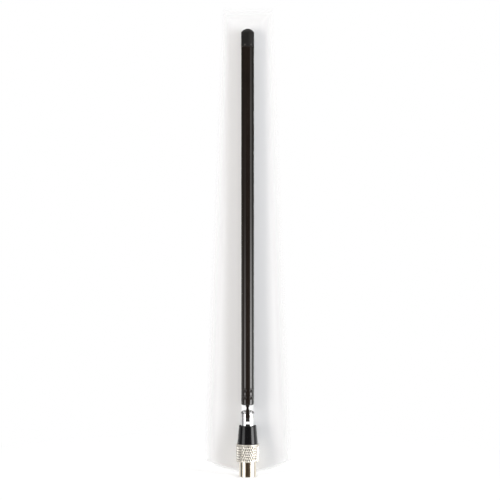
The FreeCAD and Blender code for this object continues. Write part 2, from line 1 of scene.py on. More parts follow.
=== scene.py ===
import bmesh
import bpy
import numpy as np
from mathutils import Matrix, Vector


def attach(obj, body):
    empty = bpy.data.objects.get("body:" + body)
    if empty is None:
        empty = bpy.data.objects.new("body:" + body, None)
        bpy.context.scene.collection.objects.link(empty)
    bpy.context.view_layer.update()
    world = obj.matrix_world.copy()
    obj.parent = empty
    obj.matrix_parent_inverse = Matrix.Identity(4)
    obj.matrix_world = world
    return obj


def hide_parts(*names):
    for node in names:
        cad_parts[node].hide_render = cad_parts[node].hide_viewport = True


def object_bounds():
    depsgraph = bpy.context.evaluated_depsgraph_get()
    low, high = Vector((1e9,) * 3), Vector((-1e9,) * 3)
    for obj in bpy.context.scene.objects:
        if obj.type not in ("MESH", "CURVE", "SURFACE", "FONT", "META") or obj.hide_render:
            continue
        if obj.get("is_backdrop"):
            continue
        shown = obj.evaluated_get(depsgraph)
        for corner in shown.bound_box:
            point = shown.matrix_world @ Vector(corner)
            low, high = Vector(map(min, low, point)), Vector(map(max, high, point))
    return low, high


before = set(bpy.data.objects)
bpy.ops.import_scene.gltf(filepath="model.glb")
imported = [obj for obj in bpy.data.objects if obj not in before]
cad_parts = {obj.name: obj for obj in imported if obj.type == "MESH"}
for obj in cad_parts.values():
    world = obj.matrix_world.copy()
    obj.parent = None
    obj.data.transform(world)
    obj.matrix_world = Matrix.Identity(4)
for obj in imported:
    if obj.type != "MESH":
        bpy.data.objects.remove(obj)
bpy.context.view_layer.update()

# Plug shell: the outer contact of a 9.5 mm coaxial plug, a brass tube turned on an automatic lathe and
# bright nickel plated. Its flange sits on the floor of the knurled sleeve, and its mouth is left open.

MM = 0.001
plug_radius = 4.75
plug_bore = 4.2
waist_radius = 4.55
sleeve_low = 8.35
sleeve_floor = 9.75
flange_radius = 5.3
flange_top = 10.95
shell_top = 13.75
waist_lead = 0.2
lip_width = 0.5
lip_height = 0.4
insulator_low = 7.95


def rounded(corners, closed=True, steps=5, guard=0.3):
    """Outline through corners (across, up, fillet) in millimetres, each fillet drawn as an arc.

    With unit vectors from the corner to its two neighbours and half the angle between them, the arc
    starts fillet / tan(half) from the corner, and its centre lies fillet / sin(half) along the vectors'
    sum. A point is added on each side of the arc, so that the long faces keep their own shading."""
    corners = np.array(corners, float)
    points = corners[:, :2]
    count = len(points)
    outline = []
    for number, fillet in enumerate(corners[:, 2]):
        corner = points[number]
        at_end = not closed and number in (0, count - 1)
        if fillet == 0 or at_end:
            outline.append(corner[None])
            continue
        back = points[number - 1] - corner
        ahead = points[(number + 1) % count] - corner
        back /= np.linalg.norm(back)
        ahead /= np.linalg.norm(ahead)
        half = np.arccos(np.clip(back @ ahead, -1, 1)) / 2
        reach = fillet / np.tan(half)
        middle = (back + ahead) / np.linalg.norm(back + ahead)
        centre = corner + middle * fillet / np.sin(half)
        start = corner + back * reach - centre
        finish = corner + ahead * reach - centre
        sweep = np.pi - 2 * half
        share = np.linspace(0, 1, steps + 1)[:, None]
        arc = centre + (np.sin((1 - share) * sweep) * start + np.sin(share * sweep) * finish) / np.sin(sweep)
        before = corner + back * (reach + guard * fillet)
        after = corner + ahead * (reach + guard * fillet)
        outline += [before[None], arc, after[None]]
    return np.concatenate(outline)


def revolved(outline, columns=96):
    """Outline (radius, height) carried round the upright axis: radius * (sin a, -cos a) at its height."""
    angle = np.linspace(0, 2 * np.pi, columns, endpoint=False)
    radius = outline[:, :1] + 0 * angle
    height = outline[:, 1:] + 0 * angle
    return np.stack((radius * np.sin(angle), -radius * np.cos(angle), height), axis=-1)


def add_piece(name, grids, material, body, slot, *nodes):
    """Mesh from grids of points in millimetres: rows run along the outline and columns run round.

    Each grid is (points, closed), closed where its last row joins its first. Rows that shrink to a
    point on the axis are merged there, so that poles are closed."""
    vertices = []
    faces = []
    total = 0
    for points, closed in grids:
        rows, columns = points.shape[:2]
        index = total + np.arange(rows * columns).reshape(rows, columns)
        here = index if closed else index[:-1]
        above = np.roll(index, -1, axis=0) if closed else index[1:]
        quads = np.stack((here, np.roll(here, -1, 1), np.roll(above, -1, 1), above), axis=-1)
        vertices.append(points.reshape(-1, 3))
        faces.append(quads.reshape(-1, 4))
        total += rows * columns
    mesh = bpy.data.meshes.new(name)
    mesh.from_pydata((np.concatenate(vertices) * MM).tolist(), [], np.concatenate(faces).tolist())
    welded = bmesh.new()
    welded.from_mesh(mesh)
    bmesh.ops.remove_doubles(welded, verts=welded.verts, dist=1e-7)
    bmesh.ops.dissolve_degenerate(welded, edges=welded.edges, dist=1e-7)
    welded.to_mesh(mesh)
    welded.free()
    mesh.shade_smooth()
    mesh.set_sharp_from_angle(angle=np.radians(35))
    mesh.materials.append(material)
    piece = bpy.data.objects.new(name, mesh)
    bpy.context.scene.collection.objects.link(piece)
    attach(piece, body)
    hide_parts(*nodes)
    return piece


def linear(colour):
    """sRGB hex value as linear red, green and blue with full opacity."""
    shares = np.array([int(colour[place:place + 2], 16) for place in (1, 3, 5)]) / 255
    values = np.where(shares <= 0.04045, shares / 12.92, ((shares + 0.055) / 1.055) ** 2.4)
    return (*values.tolist(), 1.0)


def add_node(tree, kind, settings=None, links=None):
    """Node of this kind with its settings, by socket name, socket number or property, and its links."""
    made = tree.nodes.new("ShaderNode" + kind)
    for key, value in (settings or {}).items():
        if isinstance(key, int) or key in made.inputs:
            made.inputs[key].default_value = value
        else:
            setattr(made, key, value)
    for key, source in (links or {}).items():
        tree.links.new(source, made.inputs[key])
    return made


def new_finish(name, **settings):
    """Material with a Principled shader set to these values, and the place on the piece in metres."""
    material = bpy.data.materials.new(name)
    material.use_nodes = True
    tree = material.node_tree
    shader = tree.nodes["Principled BSDF"]
    for key, value in settings.items():
        shader.inputs[key.replace("_", " ")].default_value = value
    place = add_node(tree, "TexCoord").outputs["Object"]
    return material, tree, shader, place


def patchy(tree, place, stretch, size_mm, detail=3.0):
    """Uneven pattern with features of this real size, drawn out along the axes given by stretch."""
    mapping = add_node(tree, "Mapping", {"Scale": stretch}, {"Vector": place})
    settings = {"Scale": 1 / (size_mm * MM), "Detail": detail, "Roughness": 0.55}
    return add_node(tree, "TexNoise", settings, {"Vector": mapping.outputs["Vector"]}).outputs["Fac"]


def between(tree, share, low, high):
    """A value that runs from low to high as the pattern runs over its middle range."""
    settings = {"From Min": 0.3, "From Max": 0.7, "To Min": low, "To Max": high}
    return add_node(tree, "MapRange", settings, {"Value": share}).outputs["Result"]


def tinted(tree, shader, share, first, second):
    """Base colour that drifts between two sRGB values with the pattern."""
    settings = {"data_type": "RGBA", 6: linear(first), 7: linear(second)}
    mix = add_node(tree, "Mix", settings, {0: share})
    tree.links.new(mix.outputs[2], shader.inputs["Base Color"])


def raised(tree, shader, share, height_mm, strength=1.0, under=None):
    """Bump of this real height, on top of another bump where one is given."""
    links = {"Height": share}
    if under:
        links["Normal"] = under
    settings = {"Strength": strength, "Distance": height_mm * MM}
    normal = add_node(tree, "Bump", settings, links).outputs["Normal"]
    tree.links.new(normal, shader.inputs["Normal"])
    return normal


def nickel_plate(name, first, second, polish=None):
    """Bright nickel over turned brass: warm grey metal, with the tool's fine rings left under the plate.

    The polish is a pair of roughness values, left out where the finish sets its own."""
    material, tree, shader, place = new_finish(name, Metallic=1.0)
    rings = patchy(tree, place, (0.06, 0.06, 1.0), 0.35)
    stain = patchy(tree, place, (1, 1, 1), 2.5)
    tinted(tree, shader, between(tree, stain, 0, 1), first, second)
    if polish:
        tree.links.new(between(tree, stain, *polish), shader.inputs["Roughness"])
    raised(tree, shader, rings, 0.004)
    return material


bright_nickel = nickel_plate("bright_nickel_on_turned_brass", "#DCD5C8", "#CFC6B6", (0.10, 0.17))
shell = rounded([
    (plug_bore, 0, 0.1),
    (plug_radius, 0, 0.2),
    (plug_radius, sleeve_low - waist_lead, 0.04),
    (waist_radius, sleeve_low - waist_lead, 0.04),
    (waist_radius, sleeve_floor, 0),
    (flange_radius, sleeve_floor, 0.05),
    (flange_radius, flange_top, 0.05),
    (waist_radius, flange_top, 0.04),
    (waist_radius, shell_top, 0.05),
    (plug_bore - lip_width, shell_top, 0.05),
    (plug_bore - lip_width, shell_top - lip_height, 0.04),
    (plug_bore, shell_top - lip_height, 0.04),
    (plug_bore, insulator_low, 0),
])
add_piece("plug_shell_turned", [(revolved(shell), True)], bright_nickel, "plug", "nickel_plate", "plug_shell")

# Plug insulator: a moulded polyethylene disc pressed into the shell from behind, white and waxy, which
# holds the pin on the axis. It is seen only from below, deep in the plug's mouth.

pin_radius = 1.175
insulator_high = 13.3
pin_collar_low = 10.95
seat_radius = 1.8
pin_play = 0.02
bore_play = 0.03
seat_play = 0.05
waxy_polyethylene, tree, shader, place = new_finish(
    "white_moulded_polyethylene", Roughness=0.42, IOR=1.51, Subsurface_Weight=0.12, Subsurface_Scale=0.002)
clouding = patchy(tree, place, (1, 1, 1), 1.8)
tinted(tree, shader, between(tree, clouding, 0, 1), "#E9E6DC", "#F1EFE8")
raised(tree, shader, patchy(tree, place, (1, 1, 1), 0.3), 0.006)
disc = rounded([
    (pin_radius + pin_play, insulator_low, 0.12),
    (plug_bore - bore_play, insulator_low, 0.15),
    (plug_bore - bore_play, insulator_high, 0.05),
    (seat_radius, insulator_high, 0.05),
    (seat_radius, pin_collar_low - seat_play, 0.04),
    (pin_radius + pin_play, pin_collar_low - seat_play, 0.04),
])
add_piece("insulator_disc", [(revolved(disc), True)], waxy_polyethylene, "plug", "white_polyethylene",
          "plug_insulator")

# Centre pin: turned brass, nickel plated like the shell, with a full round tip that leads it into the
# socket. A collar holds it in the insulator, and a cup at its back takes the contact spring.

pin_tip = 0.7
pin_collar_radius = 1.75
cup_radius = 1.5
cup_bore = 1.1
cup_floor = 13.85
cup_high = 15.75
pin = rounded([
    (0, pin_tip, 0),
    (pin_radius, pin_tip, pin_radius - 0.01),
    (pin_radius, pin_collar_low, 0.05),
    (pin_collar_radius, pin_collar_low, 0.05),
    (pin_collar_radius, insulator_high + seat_play, 0.05),
    (cup_radius, insulator_high + seat_play, 0.05),
    (cup_radius, cup_high, 0.08),
    (cup_bore, cup_high, 0.08),
    (cup_bore, cup_floor, 0.1),
    (0, cup_floor, 0),
], closed=False, steps=10, guard=0.005)
add_piece("centre_pin_turned", [(revolved(pin, 48), False)], bright_nickel, "plug", "nickel_plate",
          "centre_pin")

# Contact spring: a coil of phosphor bronze wire, pale copper brown, which feeds the turning stem from
# the pin's cup. It is out of sight inside the collar, so the drawn wire only needs its own metal.


def cad_finish(material, *nodes):
    """Give frame nodes that stay in view or inside the object their own finish."""
    for name in nodes:
        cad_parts[name].data.materials.clear()
        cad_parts[name].data.materials.append(material)


def plain_metal(name, first, second, smooth, dull, stretch, size_mm):
    """Bare metal whose colour and polish drift with the marks of its making."""
    material, tree, shader, place = new_finish(name, Metallic=1.0)
    marks = patchy(tree, place, stretch, size_mm)
    tinted(tree, shader, between(tree, marks, 0, 1), first, second)
    tree.links.new(between(tree, marks, smooth, dull), shader.inputs["Roughness"])
    raised(tree, shader, marks, 0.003)
    return material


drawn_bronze = plain_metal("drawn_phosphor_bronze", "#C58C5E", "#B67C50", 0.24, 0.36, (1, 1, 1), 0.6)
cad_finish(drawn_bronze, "contact_spring")

# Knurled sleeve: turned brass with a cut diamond knurl between two run-out grooves, nickel plated, with plain
# chamfered rims, and painted shade with some grime where the grooves cross. It is what the fingers hold.

sleeve_radius = 6.25
sleeve_bore = 5.35
waist_bore = 4.6
sleeve_high = 18.0
sleeve_chamfer = 0.25
run_out = 0.3
crown_inset = 0.3
knurl_low = 8.97
knurl_high = 17.37
knurl_root = 5.95
knurl_core = 5.85
knurl_columns = 36
knurl_rows = 6
knurl_land = 0.45
knurl_phase = 0.25


def turn_about_axis(tree, place):
    """Angle round the upright axis, 0 towards the camera and positive to the right, from a place."""
    forward = add_node(tree, "Math", {"operation": "MULTIPLY", 1: -1.0}, {0: place.outputs["Y"]})
    turn = add_node(tree, "Math", {"operation": "ARCTAN2"}, {0: place.outputs["X"], 1: forward.outputs[0]})
    return turn.outputs[0]


def knurl_band(samples_round, samples_up):
    """Band of pyramids. Two families of straight grooves cross at p and q = half a whole number, where
    p and q are the columns round plus and minus the rows up. The height is 1 minus twice the larger
    distance of p or q from a whole number, cut flat at the land. The phase shifts the rows up the band."""
    angle = np.linspace(0, 2 * np.pi, knurl_columns * samples_round, endpoint=False)
    share = np.linspace(0, 1, knurl_rows * samples_up + 1)[:, None]
    across = angle * knurl_columns / (2 * np.pi)
    along = share * knurl_rows / 2 + knurl_phase
    p = across + along
    q = across - along
    away = np.maximum(np.abs(p - np.round(p)), np.abs(q - np.round(q)))
    crest = np.clip((1 - 2 * away) / (1 - knurl_land), 0, 1)
    radius = knurl_root + (sleeve_radius - knurl_root) * crest
    height = knurl_low + (knurl_high - knurl_low) * share + 0 * angle
    return np.stack((radius * np.sin(angle), -radius * np.cos(angle), height), axis=-1)


def knurled_finish():
    """Nickel plate, polished on the flat lands by handling and satin on the flanks, with painted shade and
    some grime darkening the rows where two grooves cross. The grooves' p and q are found again from the
    place, and their distances from a whole number add up to 1 at a crossing."""
    material = nickel_plate("nickel_on_knurled_brass", "#ECE8E0", "#E2DCD1")
    tree = material.node_tree
    shader = tree.nodes["Principled BSDF"]
    place = add_node(tree, "SeparateXYZ", None, {0: add_node(tree, "TexCoord").outputs["Object"]})
    across = add_node(tree, "Math", {"operation": "MULTIPLY", 1: knurl_columns / (2 * np.pi)},
                      {0: turn_about_axis(tree, place)})
    along = add_node(tree, "MapRange", {"From Min": knurl_low * MM, "From Max": knurl_high * MM,
                                        "To Min": knurl_phase, "To Max": knurl_rows / 2 + knurl_phase},
                     {"Value": place.outputs["Z"]})
    away = []
    for operation in ("ADD", "SUBTRACT"):
        groove = add_node(tree, "Math", {"operation": operation}, {0: across.outputs[0], 1: along.outputs[0]})
        away.append(add_node(tree, "Math", {"operation": "PINGPONG", 1: 0.5}, {0: groove.outputs[0]}))
    deepest = add_node(tree, "Math", {"operation": "MAXIMUM"}, {0: away[0].outputs[0], 1: away[1].outputs[0]})
    polish = add_node(tree, "MapRange", {"From Min": 0.2, "From Max": 0.3, "To Min": 0.24, "To Max": 0.46},
                      {"Value": deepest.outputs[0]})
    tree.links.new(polish.outputs[0], shader.inputs["Roughness"])
    # Darker base colour where two grooves cross on a row: painted shade of the deep crossings, with some
    # grime.
    both = add_node(tree, "Math", {"operation": "ADD"}, {0: away[0].outputs[0], 1: away[1].outputs[0]})
    crossing = add_node(tree, "MapRange", {"From Min": 0.36, "From Max": 0.56}, {"Value": both.outputs[0]})
    rows = add_node(tree, "Math", {"operation": "MULTIPLY", 1: 2.0}, {0: along.outputs[0]})
    off_row = add_node(tree, "Math", {"operation": "PINGPONG", 1: 0.5}, {0: rows.outputs[0]})
    on_row = add_node(tree, "MapRange", {"From Min": 0.3, "From Max": 0.16}, {"Value": off_row.outputs[0]})
    crossing_shade_and_grime = add_node(tree, "Math", {"operation": "MULTIPLY"}, {0: crossing.outputs[0], 1: on_row.outputs[0]})
    kept_brightness = add_node(tree, "MapRange", {"To Min": 1.0, "To Max": 0.08}, {"Value": crossing_shade_and_grime.outputs[0]})
    plate = shader.inputs["Base Color"].links[0].from_socket
    shaded = add_node(tree, "VectorMath", {"operation": "SCALE"}, {0: plate, "Scale": kept_brightness.outputs[0]})
    tree.links.new(shaded.outputs[0], shader.inputs["Base Color"])
    return material


knurled_nickel = knurled_finish()
band = knurl_band(14, 12)
rim = rounded([
    (sleeve_bore, sleeve_high, 0.15),
    (sleeve_bore, sleeve_floor, 0.1),
    (waist_bore, sleeve_floor, 0.04),
    (waist_bore, sleeve_low, 0.06),
    (sleeve_radius - sleeve_chamfer, sleeve_low, 0.06),
    (sleeve_radius, sleeve_low + sleeve_chamfer, 0.05),
    (sleeve_radius, knurl_low - run_out, 0.04),
    (knurl_core, knurl_low - run_out, 0.04),
    (knurl_core, knurl_low, 0),
], closed=False)
crown = rounded([
    (knurl_core, knurl_high, 0),
    (knurl_core, knurl_high + run_out, 0.04),
    (sleeve_radius, knurl_high + run_out, 0.04),
    (sleeve_radius, sleeve_high - sleeve_chamfer, 0.05),
    (sleeve_radius - sleeve_chamfer, sleeve_high, 0.06),
    (sleeve_bore + crown_inset, sleeve_high, 0),
], closed=False)
sleeve = np.concatenate((revolved(rim, band.shape[1]), band, revolved(crown, band.shape[1])))
add_piece("sleeve_knurled", [(sleeve, True)], knurled_nickel, "plug", "nickel_plate", "knurled_sleeve")

# Collar: the tapered back shell, moulded in glossy black ABS with a faint mould grain. A spigot holds it
# in the sleeve, and a recess in its soft-edged top takes the fork.

collar_high = 28.25
collar_foot = 5.65
collar_top = 4.78
recess_low = 26.85
recess_radius = 3.8
bush_low = 21.25
bush_radius = 3.1
cavity_low = 13.95
cavity_radius = 4.0
spigot_play = 0.01
floor_play = 0.02
moulded_abs, tree, shader, place = new_finish(
    "black_moulded_abs", Roughness=0.1, IOR=1.53, Specular_IOR_Level=0.34)
flow = patchy(tree, place, (1, 1, 0.35), 4.0)
tinted(tree, shader, between(tree, flow, 0, 1), "#0F0F11", "#151517")
tree.links.new(between(tree, flow, 0.08, 0.12), shader.inputs["Roughness"])
raised(tree, shader, patchy(tree, place, (1, 1, 1), 0.25), 0.0025)
back_shell = rounded([
    (waist_bore, flange_top + floor_play, 0.05),
    (flange_radius - spigot_play, flange_top + floor_play, 0.1),
    (flange_radius - spigot_play, sleeve_high + spigot_play, 0.02),
    (collar_foot, sleeve_high + spigot_play, 0.08),
    (collar_top, collar_high, 0.35),
    (recess_radius, collar_high, 0.12),
    (recess_radius, recess_low, 0.05),
    (bush_radius, recess_low, 0.05),
    (bush_radius, bush_low, 0.05),
    (cavity_radius, bush_low, 0.1),
    (cavity_radius, cavity_low, 0.1),
    (waist_bore, cavity_low, 0.05),
])
add_piece("collar_moulded", [(revolved(back_shell, 128), True)], moulded_abs, "plug", "black_moulding",
          "collar")

# Swivel bush, clip and spring washer: plain turned brass, and blanked spring steel with a blue-grey
# sheen. They sit inside the collar, and only the bush shows, as a thin bright ring round the fork.

turned_brass = plain_metal("bare_turned_brass", "#CDA75C", "#BD9650", 0.22, 0.34, (0.05, 0.05, 1), 0.4)
spring_steel = plain_metal("tempered_spring_steel", "#9FA2A6", "#85888D", 0.3, 0.42, (1, 1, 1), 0.8)
cad_finish(turned_brass, "swivel_bush", "tip_plug")
cad_finish(spring_steel, "retaining_clip", "spring_washer")

# Fork: turned brass, slotted and chrome plated. Two ears with round shoulders stand on a plain foot that
# turns on the bush, and each ear has a flat seat for the rivet's head. Chrome gives hard bright bands.

fork_radius = 3.7
fork_low = 26.9
fork_high = 36.35
stem_low = 19.1
stem_radius = 2.0
clip_low = 20.0
clip_high = 20.6
clip_bore = 1.55
foot_chamfer = 0.15
ear_round = 1.5
slot_floor = 28.35
half_slot = 1.1
slot_chamfer = 0.12
hinge_height = 33.05
seat_face = 3.25
head_radius = 1.55


def fork_surface():
    """One closed surface in columns round the axis. At angle a the slot's wall lies half_slot / |sin a|
    from the axis, or where the 45 degree chamfer at the slot's mouth cuts it. A column runs up the
    stem, up the outside, over the shoulder's arc, down that wall and in along the slot's floor. Where
    the wall would lie outside the fork there is no ear, and the column goes straight to the floor."""
    open_columns = 13
    ear_columns = 73
    wide = half_slot + slot_chamfer
    edge = np.arcsin(wide / fork_radius)
    open_side = np.linspace(-edge, edge, open_columns)
    ear_side = np.linspace(edge + 0.002, np.pi - edge - 0.002, ear_columns)
    angle = np.concatenate((open_side, ear_side, open_side + np.pi, ear_side + np.pi))
    sine = np.maximum(np.abs(np.sin(angle)), 1e-6)
    cosine = np.abs(np.cos(angle))
    chamfer_start = np.sqrt(fork_radius ** 2 - wide ** 2) - slot_chamfer
    cut = (chamfer_start - half_slot) / np.maximum(cosine - sine, 1e-6)
    wall = np.where(cosine > sine, np.maximum(half_slot / sine, np.where(cut < fork_radius, cut, 0)),
                    half_slot / sine)
    has_ear = np.tile(np.repeat([False, True], (open_columns, ear_columns)), 2)
    wall = np.where(has_ear, np.minimum(wall, fork_radius), fork_radius)
    brow = np.where(has_ear, np.minimum(wall + slot_chamfer / sine, fork_radius), fork_radius)
    inner = fork_radius - ear_round
    shoulder = fork_high - ear_round

    def top(radius):
        rise = np.sqrt(np.maximum(ear_round ** 2 - np.maximum(radius - inner, 0) ** 2, 0))
        return np.where(has_ear, shoulder + rise, slot_floor)

    rows = []
    stem = rounded([
        (0, stem_low, 0),
        (stem_radius, stem_low, 0.2),
        (stem_radius, clip_low, 0.04),
        (clip_bore, clip_low, 0.04),
        (clip_bore, clip_high, 0.04),
        (stem_radius, clip_high, 0.04),
        (stem_radius, fork_low, 0.05),
        (fork_radius - foot_chamfer, fork_low, 0.05),
        (fork_radius, fork_low + foot_chamfer, 0),
    ], closed=False)
    rows += [(radius + 0 * angle, height + 0 * angle) for radius, height in stem]
    outside = np.where(has_ear, shoulder, slot_floor)
    foot = fork_low + foot_chamfer
    rows += [(fork_radius + 0 * angle, foot + (outside - foot) * share)
             for share in np.linspace(0, 1, 72)[1:]]
    turn_end = np.arccos(np.clip((np.maximum(brow, inner) - inner) / ear_round, -1, 1))
    for share in np.linspace(0, 1, 11)[1:]:
        radius = inner + ear_round * np.cos(turn_end * share)
        rows.append((radius, top(radius)))
    rows.append((brow, top(brow)))
    wall_top = top(brow) - slot_chamfer * has_ear
    rows += [(wall, wall_top + (slot_floor - wall_top) * share) for share in (0, 0.04, 0.5, 0.96, 1.0)]
    rows += [(wall * share, slot_floor + 0 * angle) for share in (0.98, 0.5, 0)]
    radius = np.array([row[0] for row in rows])
    height = np.array([row[1] for row in rows])
    points = np.stack((radius * np.sin(angle), -radius * np.cos(angle), height), axis=-1)
    from_pin = np.hypot(points[..., 1], points[..., 2] - hinge_height)
    seat_edge = 0.1
    seat = seat_face + (fork_radius - seat_face) * np.clip((from_pin - head_radius) / seat_edge, 0, 1)
    on_side = np.abs(points[..., 0]) > seat
    points[..., 0] = np.where(on_side, np.sign(points[..., 0]) * seat, points[..., 0])
    return points


def chrome_plate(name, first, second, smooth, dull):
    """Bright chrome over nickel on turned brass: cool and nearly mirror-like, with faint handling haze."""
    material, tree, shader, place = new_finish(name, Metallic=1.0)
    haze = patchy(tree, place, (1, 1, 1), 1.6)
    tinted(tree, shader, between(tree, haze, 0, 1), first, second)
    tree.links.new(between(tree, haze, smooth, dull), shader.inputs["Roughness"])
    raised(tree, shader, patchy(tree, place, (0.08, 0.08, 1), 0.4), 0.002)
    return material


bright_chrome = chrome_plate("bright_chrome_on_turned_brass", "#E3E3E4", "#D6D6D8", 0.12, 0.18)
add_piece("fork_slotted", [(fork_surface(), False)], bright_chrome, "swivel_fork", "chrome_plate", "fork")

# Hinge rivet: a nickel plated brass pin along X, headed over in the seats of both ears, so that each end
# shows as a low dome in a shallow round pocket.

head_height = 0.3
shaft_radius = 1.0
shaft_half = seat_face - 0.02
dome_ball = (head_radius ** 2 + head_height ** 2) / (2 * head_height)
tilt = np.arcsin(head_radius / dome_ball)
dome = np.linspace(0, 1, 9)[:, None] * tilt
head = np.concatenate((
    dome_ball * np.sin(dome), seat_face + head_height - dome_ball * (1 - np.cos(dome))), axis=1)
shaft = [(shaft_radius, -shaft_half), (shaft_radius, shaft_half)]
rivet = revolved(np.concatenate((head * (1, -1), shaft, head[::-1])), 48)[..., [2, 0, 1]]
rivet[..., 2] += hinge_height
add_piece("rivet_headed", [(rivet, False)], bright_nickel, "swivel_fork", "chrome_plate", "hinge_pin")

# Knuckle: the turned end plug of the first tube, milled to a flat tongue with a round end and a thinner
# neck, so that the mast can lie over at a right angle. It is blackened and lacquered with the tube.

tongue_half = 1.0
tongue_radius = 2.8
tongue_root = 2.3
tongue_edge = 0.12
neck_half = 0.675
knuckle_high = 49.15
crimp_heights = (43.75, 47.65)
neck_low = hinge_height + 3.7
neck_high = hinge_height + 5.7
step_gap = 0.02
mast_low = 39.55
nose_radius = 2.57
plug_end_radius = 3.17
groove_bottom = 2.62
half_groove = 1.15


def rounded_rectangle(half_x, half_y, corner, steps=4):
    """Ring of points anticlockwise: four quarter circles about the corners' own centres."""
    quarter = np.repeat(np.arange(4), steps + 1)
    turn = -np.pi / 2 + quarter * np.pi / 2 + np.tile(np.linspace(0, np.pi / 2, steps + 1), 4)
    side_x = np.array([1, 1, -1, -1])[quarter]
    side_y = np.array([-1, 1, 1, -1])[quarter]
    corner = np.minimum(corner, np.minimum(half_x, half_y))[:, None]
    across = side_x * (half_x[:, None] - corner) + corner * np.cos(turn)
    along = side_y * (half_y[:, None] - corner) + corner * np.sin(turn)
    return across, along


def tongue_surface():
    """Level sections from the round end up: half a width of radius * cos a at radius * sin a below the
    hinge, then straight sides, with the thickness stepped in over the neck."""
    turn = np.linspace(-np.pi / 2, 0, 17)
    levels = np.concatenate((
        np.linspace(hinge_height + 1.2, neck_low - step_gap, 4),
        np.linspace(neck_low + step_gap, neck_high - step_gap, 4),
        np.linspace(neck_high + step_gap, mast_low - step_gap, 3),
        (mast_low, mast_low + 0.3)))
    height = np.concatenate((hinge_height + tongue_radius * np.sin(turn), levels))
    half_y = np.concatenate((tongue_radius * np.cos(turn), np.full(levels.size, tongue_radius)))
    half_y[height > mast_low - 0.01] = tongue_root
    in_neck = (height > neck_low) & (height < neck_high)
    half_x = np.where(in_neck, neck_half, tongue_half)
    across, along = rounded_rectangle(half_x, np.maximum(half_y, 0.001), tongue_edge)
    ring = np.stack((across, along, height[:, None] + 0 * across), axis=-1)
    middle = ring.mean(axis=1, keepdims=True) + 0 * ring
    return np.concatenate((middle[:1], ring, middle[-1:]))


def lacquer(name, first, second, smooth, dull, grain_mm, grain_height):
    """Black baked lacquer over blackened brass: warm black, with fine draw lines along the tube and a
    little orange peel. The draw lines are shown 0.5 mm apart, coarser than the real ones."""
    material, tree, shader, place = new_finish(name, IOR=1.52)
    lines = patchy(tree, place, (1, 1, 0.02), 0.5)
    clouds = patchy(tree, place, (1, 1, 0.3), 5.0)
    tinted(tree, shader, between(tree, clouds, 0, 1), first, second)
    tree.links.new(between(tree, clouds, smooth, dull), shader.inputs["Roughness"])
    peel = raised(tree, shader, patchy(tree, place, (1, 1, 1), grain_mm), grain_height)
    raised(tree, shader, lines, 0.002, under=peel)
    return material


tube_lacquer = lacquer("black_lacquer_on_drawn_brass", "#1F1916", "#261F1B", 0.05, 0.09, 0.7, 0.0015)
plug_end = rounded([
    (0, mast_low + step_gap, 0),
    (nose_radius, mast_low + step_gap, 0.06),
    (nose_radius, mast_low + 0.6, 0.1),
    (plug_end_radius, mast_low + 1.4, 0.1),
    *[(radius, height + side * half_groove, 0) for height in crimp_heights for side, radius in (
        (-1, plug_end_radius), (-1, groove_bottom), (1, groove_bottom), (1, plug_end_radius))],
    (plug_end_radius, knuckle_high, 0),
    (0, knuckle_high, 0),
], closed=False)
add_piece("knuckle_milled", [(tongue_surface(), False), (revolved(plug_end, 64), False)], tube_lacquer,
          "base_section", "black_lacquer", "knuckle")

# First tube: drawn brass, 7 mm across with a 0.3 mm wall, rolled in under the knuckle's plug and at the
# top, crimped to the plug by two rings of round dents, then lacquered black.

mast_high = 238.25
mast_radius = 3.5
mast_bore = 3.2
rolled_in = 0.9
lip_inset = 0.1
lip_thick = 0.6
plain_low = 60.0
plain_high = 230.0
crimped_low = 41.4
crimped_high = 50.0
fine_step = 0.12
plain_step = 10.0
dents_per_ring = 6
crimp_turn = np.radians(34)
dent_width = 0.6
dent_depth = 0.5
rim_share = 0.2
rim_place = 1.7
rim_width = 0.35


def press(points, heights, half_width, depth):
    """Rings of punched dents: the wall moves inwards by depth * exp(-(distance / half_width) ** 2), and a
    low rim is left round each dent, a fifth as high as the dent is deep."""
    radius = np.hypot(points[..., 0], points[..., 1])
    angle = np.arctan2(points[..., 0], -points[..., 1])
    pitch = 2 * np.pi / dents_per_ring
    off_centre = (angle - crimp_turn + pitch / 2) % pitch - pitch / 2
    sunk = 0 * radius
    for height in heights:
        distance = np.hypot(off_centre * radius, points[..., 2] - height) / half_width
        sunk += depth * np.exp(-distance ** 2)
        sunk -= depth * rim_share * np.exp(-((distance - rim_place) / rim_width) ** 2)
    moved = points.copy()
    moved[..., :2] *= ((radius - sunk) / np.maximum(radius, 1e-6))[..., None]
    return moved


def wall_steps(radius, low, high, spacing):
    """Plain points up or down a straight wall."""
    count = int(abs(high - low) / spacing) + 1
    return [(radius, height, 0) for height in np.linspace(low, high, count + 1)]


first_tube = rounded([
    (mast_radius - rolled_in, mast_low, 0.08),
    (mast_radius, mast_low, 0.8),
    *wall_steps(mast_radius, crimped_low, crimped_high, fine_step),
    *wall_steps(mast_radius, plain_low, plain_high, plain_step),
    (mast_radius, mast_high, 0.25),
    (mast_bore - lip_inset, mast_high, 0.04),
    (mast_bore - lip_inset, mast_high - lip_thick, 0.04),
    (mast_bore, mast_high - lip_thick, 0.04),
    *wall_steps(mast_bore, plain_high, plain_low, plain_step),
    *wall_steps(mast_bore, crimped_high, crimped_low, fine_step),
    (mast_bore, mast_low + 0.3, 0.5),
    (mast_radius - rolled_in, mast_low + 0.3, 0.08),
], steps=8)
first_tube = press(revolved(first_tube, 144), crimp_heights, dent_width, dent_depth)
add_piece("first_tube_crimped", [(first_tube, True)], tube_lacquer, "base_section", "black_lacquer",
          "base_tube")

# Sliding sections: five drawn brass tubes, lacquered black, each 0.15 mm clear of the one outside it.
# The foot is necked in for a split contact sleeve, and the top is rolled in round the next section.

tube_wall = 0.3
tube_gap = 0.15
foot_height = 49.55
foot_step = 4.9
neck_depth = 0.3
neck_top = 4.4
flare = 0.12
flare_height = 0.4
outer_bore = mast_bore


